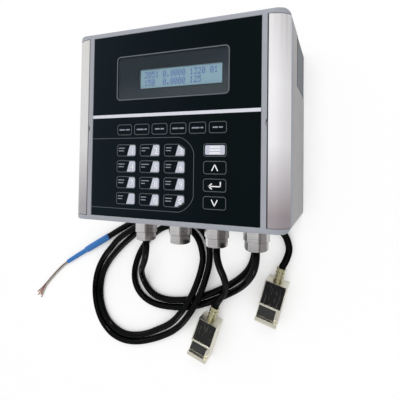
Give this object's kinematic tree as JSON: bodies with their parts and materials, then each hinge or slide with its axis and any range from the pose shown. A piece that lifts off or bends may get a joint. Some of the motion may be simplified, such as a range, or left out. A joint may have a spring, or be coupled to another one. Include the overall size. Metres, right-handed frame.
{
  "type": "liquid flow meter",
  "caption": "Wall-mount ultrasonic liquid flow meter with display, keypad, hinged side flaps, cable glands, coiled cables and clamp-on sensors.",
  "frame": {"origin": "centre of the housing's flat back face, which is also the centre of the four wall-mounting holes", "axes": "+Z out of the front panel (the part lies on its back), +Y towards the top of the panel, +X to the right seen from the front"},
  "size_m": [0.3978, 0.3785, 0.13],
  "materials": {
    "housing": "fine-grained grey moulding",
    "cover": "fine-grained blue-grey moulding",
    "gasket": "matte",
    "panel": "high gloss",
    "divider": "bright, finely brushed",
    "window": "clear, smoked",
    "lcd_bezel": "satin black",
    "lcd_glass": "pale blue-green display",
    "circuit_board": "satin solder mask",
    "switch_plastic": "satin",
    "screw_steel": "zinc-plated",
    "spacer_brass": "machined",
    "terminal_plastic": "satin",
    "gland_nickel": "nickel-plated brass",
    "cable_jacket": "gloss black jacket",
    "sleeve_blue": "heat-shrink sleeve",
    "bare_wire": "thin insulated cores with bare ends",
    "sensor_steel": "ground stainless steel",
    "sensor_label": "black label plate",
    "sensor_wedge": "dark acoustic plastic",
    "stub_nickel": "nickel-plated, slightly yellow",
    "flap_aluminium": "bright, finely brushed",
    "key_cap": "gloss with printed number patch"
  },
  "bodies": {
    "root": {"rear_case": "housing", "cover_gasket": "gasket", "front_cover": "cover", "display_panel": "panel", "keypad_panel": "panel", "divider_strip": "divider", "display_window": "window", "lcd_bezel": "lcd_bezel", "lcd_glass": "lcd_glass", "lcd_board": "circuit_board", "switch_board": "circuit_board", "tactile_switches": "switch_plastic", "cover_screws": "screw_steel", "flap_hinge_pins": "screw_steel", "main_board": "circuit_board", "board_spacers": "spacer_brass", "board_screws": "screw_steel", "power_module": "switch_plastic", "terminal_blocks": "terminal_plastic", "gland_bodies": "gland_nickel", "gland_washers": "gasket", "gland_locknuts": "gland_nickel", "gland_nuts": "gland_nickel", "gland_seals": "gasket", "signal_cable": "cable_jacket", "sensor_cable_1": "cable_jacket", "sensor_cable_2": "cable_jacket", "signal_sleeve": "sleeve_blue", "signal_wires": "bare_wire", "sensor_housing_1": "sensor_steel", "sensor_housing_2": "sensor_steel", "sensor_labels": "sensor_label", "sensor_wedges": "sensor_wedge", "sensor_stub_1": "stub_nickel", "sensor_stub_2": "stub_nickel"},
    "left_flap": {"left_flap": "flap_aluminium"},
    "right_flap": {"right_flap": "flap_aluminium"},
    "key_1": {"key_1": "key_cap"},
    "key_2": {"key_2": "key_cap"},
    "key_3": {"key_3": "key_cap"},
    "key_4": {"key_4": "key_cap"},
    "key_5": {"key_5": "key_cap"},
    "key_6": {"key_6": "key_cap"},
    "key_7": {"key_7": "key_cap"},
    "key_8": {"key_8": "key_cap"},
    "key_9": {"key_9": "key_cap"},
    "key_dot": {"key_dot": "key_cap"},
    "key_0": {"key_0": "key_cap"},
    "key_back": {"key_back": "key_cap"},
    "key_menu": {"key_menu": "key_cap"},
    "key_up": {"key_up": "key_cap"},
    "key_enter": {"key_enter": "key_cap"},
    "key_down": {"key_down": "key_cap"},
    "key_f1": {"key_f1": "key_cap"},
    "key_f2": {"key_f2": "key_cap"},
    "key_f3": {"key_f3": "key_cap"},
    "key_f4": {"key_f4": "key_cap"},
    "key_f5": {"key_f5": "key_cap"},
    "key_f6": {"key_f6": "key_cap"}
  },
  "joints": [
    {"name": "right_flap_hinge", "type": "hinge", "parent": "root", "child": "right_flap", "pos_m": [0.1078, 0, 0.12025], "axis": [0, 1, 0], "range_deg": [0, 110]},
    {"name": "left_flap_hinge", "type": "hinge", "parent": "root", "child": "left_flap", "pos_m": [-0.1078, 0, 0.12025], "axis": [0, -1, 0], "range_deg": [0, 110]},
    {"name": "key_1_press", "type": "slide", "parent": "root", "child": "key_1", "axis": [0, 0, -1], "range_m": [0, 0.0004], "stiffness_N_per_m": 3000},
    {"name": "key_2_press", "type": "slide", "parent": "root", "child": "key_2", "axis": [0, 0, -1], "range_m": [0, 0.0004], "stiffness_N_per_m": 3000},
    {"name": "key_3_press", "type": "slide", "parent": "root", "child": "key_3", "axis": [0, 0, -1], "range_m": [0, 0.0004], "stiffness_N_per_m": 3000},
    {"name": "key_4_press", "type": "slide", "parent": "root", "child": "key_4", "axis": [0, 0, -1], "range_m": [0, 0.0004], "stiffness_N_per_m": 3000},
    {"name": "key_5_press", "type": "slide", "parent": "root", "child": "key_5", "axis": [0, 0, -1], "range_m": [0, 0.0004], "stiffness_N_per_m": 3000},
    {"name": "key_6_press", "type": "slide", "parent": "root", "child": "key_6", "axis": [0, 0, -1], "range_m": [0, 0.0004], "stiffness_N_per_m": 3000},
    {"name": "key_7_press", "type": "slide", "parent": "root", "child": "key_7", "axis": [0, 0, -1], "range_m": [0, 0.0004], "stiffness_N_per_m": 3000},
    {"name": "key_8_press", "type": "slide", "parent": "root", "child": "key_8", "axis": [0, 0, -1], "range_m": [0, 0.0004], "stiffness_N_per_m": 3000},
    {"name": "key_9_press", "type": "slide", "parent": "root", "child": "key_9", "axis": [0, 0, -1], "range_m": [0, 0.0004], "stiffness_N_per_m": 3000},
    {"name": "key_dot_press", "type": "slide", "parent": "root", "child": "key_dot", "axis": [0, 0, -1], "range_m": [0, 0.0004], "stiffness_N_per_m": 3000},
    {"name": "key_0_press", "type": "slide", "parent": "root", "child": "key_0", "axis": [0, 0, -1], "range_m": [0, 0.0004], "stiffness_N_per_m": 3000},
    {"name": "key_back_press", "type": "slide", "parent": "root", "child": "key_back", "axis": [0, 0, -1], "range_m": [0, 0.0004], "stiffness_N_per_m": 3000},
    {"name": "key_menu_press", "type": "slide", "parent": "root", "child": "key_menu", "axis": [0, 0, -1], "range_m": [0, 0.0004], "stiffness_N_per_m": 3000},
    {"name": "key_up_press", "type": "slide", "parent": "root", "child": "key_up", "axis": [0, 0, -1], "range_m": [0, 0.0004], "stiffness_N_per_m": 3000},
    {"name": "key_enter_press", "type": "slide", "parent": "root", "child": "key_enter", "axis": [0, 0, -1], "range_m": [0, 0.0004], "stiffness_N_per_m": 3000},
    {"name": "key_down_press", "type": "slide", "parent": "root", "child": "key_down", "axis": [0, 0, -1], "range_m": [0, 0.0004], "stiffness_N_per_m": 3000},
    {"name": "key_f1_press", "type": "slide", "parent": "root", "child": "key_f1", "axis": [0, 0, -1], "range_m": [0, 0.0004], "stiffness_N_per_m": 3000},
    {"name": "key_f2_press", "type": "slide", "parent": "root", "child": "key_f2", "axis": [0, 0, -1], "range_m": [0, 0.0004], "stiffness_N_per_m": 3000},
    {"name": "key_f3_press", "type": "slide", "parent": "root", "child": "key_f3", "axis": [0, 0, -1], "range_m": [0, 0.0004], "stiffness_N_per_m": 3000},
    {"name": "key_f4_press", "type": "slide", "parent": "root", "child": "key_f4", "axis": [0, 0, -1], "range_m": [0, 0.0004], "stiffness_N_per_m": 3000},
    {"name": "key_f5_press", "type": "slide", "parent": "root", "child": "key_f5", "axis": [0, 0, -1], "range_m": [0, 0.0004], "stiffness_N_per_m": 3000},
    {"name": "key_f6_press", "type": "slide", "parent": "root", "child": "key_f6", "axis": [0, 0, -1], "range_m": [0, 0.0004], "stiffness_N_per_m": 3000}
  ]
}
